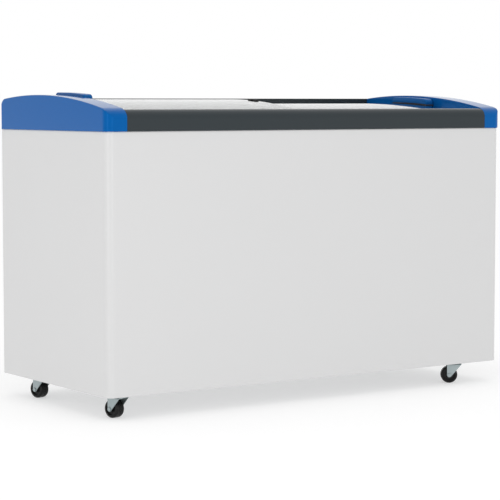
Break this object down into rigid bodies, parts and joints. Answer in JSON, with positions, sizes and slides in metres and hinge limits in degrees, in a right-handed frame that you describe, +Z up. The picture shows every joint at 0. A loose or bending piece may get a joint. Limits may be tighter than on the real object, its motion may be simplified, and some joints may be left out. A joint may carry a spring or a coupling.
{
  "type": "chest freezer",
  "caption": "White chest freezer on swivel casters, with blue end caps, dark rails and curved glass lids that slide past each other.",
  "frame": {"origin": "on the floor under the middle of the footprint", "axes": "+X along the length from the left end to the right end, front faces -Y, +Z up"},
  "size_m": [1.366, 0.606, 0.871],
  "materials": {
    "painted_body": "satin",
    "galvanised": "satin",
    "liner_white": "satin",
    "foam": "matte",
    "white_plastic": "satin",
    "plywood": "matte",
    "copper": "satin",
    "pipe_steel": "satin",
    "compressor_black": "satin",
    "rubber": "matte",
    "zinc": "satin",
    "black_plastic": "matte",
    "grey_plastic": "matte",
    "lamp_green": "gloss",
    "blue_plastic": "satin",
    "rail_grey": "satin",
    "lid_glass": "gloss",
    "brush": "matte",
    "wheel_black": "satin"
  },
  "bodies": {
    "cabinet": {"outer_shell": "painted_body", "back_panel": "galvanised", "base_pan": "galvanised", "inner_liner": "liner_white", "foam_insulation": "foam", "breaker_trim": "white_plastic", "compartment_lining": "galvanised", "caster_blocks": "plywood", "evaporator_coil": "copper", "condenser_coil": "pipe_steel", "compressor_shell": "compressor_black", "compressor_tray": "compressor_black", "compressor_grommets": "rubber", "compressor_bolts": "zinc", "start_relay_cover": "black_plastic", "filter_drier": "copper", "suction_line": "copper", "discharge_line": "copper", "capillary_tube": "copper", "side_grille": "grey_plastic", "rear_grille": "grey_plastic", "grille_screws": "zinc", "thermostat_cup": "black_plastic", "indicator_lamp": "lamp_green", "cord_gland": "rubber", "drain_spout": "white_plastic", "end_cap_left": "blue_plastic", "end_cap_right": "blue_plastic", "front_rail": "rail_grey", "rear_rail": "rail_grey", "caster_bolts": "zinc", "caster_plate_front_left": "zinc", "caster_plate_front_right": "zinc", "caster_plate_rear_left": "zinc", "caster_plate_rear_right": "zinc"},
    "lid_left": {"lid_left_glass": "lid_glass", "lid_left_handle": "blue_plastic", "lid_left_front_runner": "black_plastic", "lid_left_rear_runner": "black_plastic", "lid_left_bumper": "rubber", "lid_left_brush": "brush"},
    "lid_right": {"lid_right_glass": "lid_glass", "lid_right_handle": "blue_plastic", "lid_right_front_runner": "black_plastic", "lid_right_rear_runner": "black_plastic"},
    "knob": {"thermostat_knob": "white_plastic"},
    "plug": {"drain_plug": "rubber"},
    "fork_front_left": {"caster_fork_front_left": "zinc", "caster_axle_front_left": "zinc"},
    "wheel_front_left": {"caster_wheel_front_left": "wheel_black"},
    "fork_front_right": {"caster_fork_front_right": "zinc", "caster_axle_front_right": "zinc"},
    "wheel_front_right": {"caster_wheel_front_right": "wheel_black"},
    "fork_rear_left": {"caster_fork_rear_left": "zinc", "caster_axle_rear_left": "zinc"},
    "wheel_rear_left": {"caster_wheel_rear_left": "wheel_black"},
    "fork_rear_right": {"caster_fork_rear_right": "zinc", "caster_axle_rear_right": "zinc"},
    "wheel_rear_right": {"caster_wheel_rear_right": "wheel_black"}
  },
  "joints": [
    {"name": "lid_left_slide", "type": "slide", "parent": "cabinet", "child": "lid_left", "axis": [1, 0, 0], "range_m": [0, 0.6135]},
    {"name": "lid_right_slide", "type": "slide", "parent": "cabinet", "child": "lid_right", "axis": [1, 0, 0], "range_m": [-0.566, 0]},
    {"name": "thermostat_turn", "type": "hinge", "parent": "cabinet", "child": "knob", "pos_m": [0.67, 0.238, 0.2175], "axis": [-1, 0, 0], "range_deg": [0, 270]},
    {"name": "drain_plug_pull", "type": "slide", "parent": "cabinet", "child": "plug", "axis": [0, 0, 1], "range_m": [0, 0.06]},
    {"name": "swivel_front_left", "type": "hinge", "parent": "cabinet", "child": "fork_front_left", "pos_m": [-0.622, -0.262, 0.057], "axis": [0, 0, 1], "continuous": true},
    {"name": "roll_front_left", "type": "hinge", "parent": "fork_front_left", "child": "wheel_front_left", "pos_m": [-0.62769, -0.24075, 0.025], "axis": [-0.9659, -0.2588, 0], "continuous": true},
    {"name": "swivel_front_right", "type": "hinge", "parent": "cabinet", "child": "fork_front_right", "pos_m": [0.551, -0.262, 0.057], "axis": [0, 0, 1], "continuous": true},
    {"name": "roll_front_right", "type": "hinge", "parent": "fork_front_right", "child": "wheel_front_right", "pos_m": [0.53298, -0.24938, 0.025], "axis": [-0.5736, -0.8192, 0], "continuous": true},
    {"name": "swivel_rear_left", "type": "hinge", "parent": "cabinet", "child": "fork_rear_left", "pos_m": [-0.622, 0.163, 0.057], "axis": [0, 0, 1], "continuous": true},
    {"name": "roll_rear_left", "type": "hinge", "parent": "fork_rear_left", "child": "wheel_rear_left", "pos_m": [-0.62769, 0.18425, 0.025], "axis": [-0.9659, -0.2588, 0], "continuous": true},
    {"name": "swivel_rear_right", "type": "hinge", "parent": "cabinet", "child": "fork_rear_right", "pos_m": [0.551, 0.163, 0.057], "axis": [0, 0, 1], "continuous": true},
    {"name": "roll_rear_right", "type": "hinge", "parent": "fork_rear_right", "child": "wheel_rear_right", "pos_m": [0.54985, 0.18497, 0.025], "axis": [-0.9986, -0.0523, 0], "continuous": true}
  ]
}
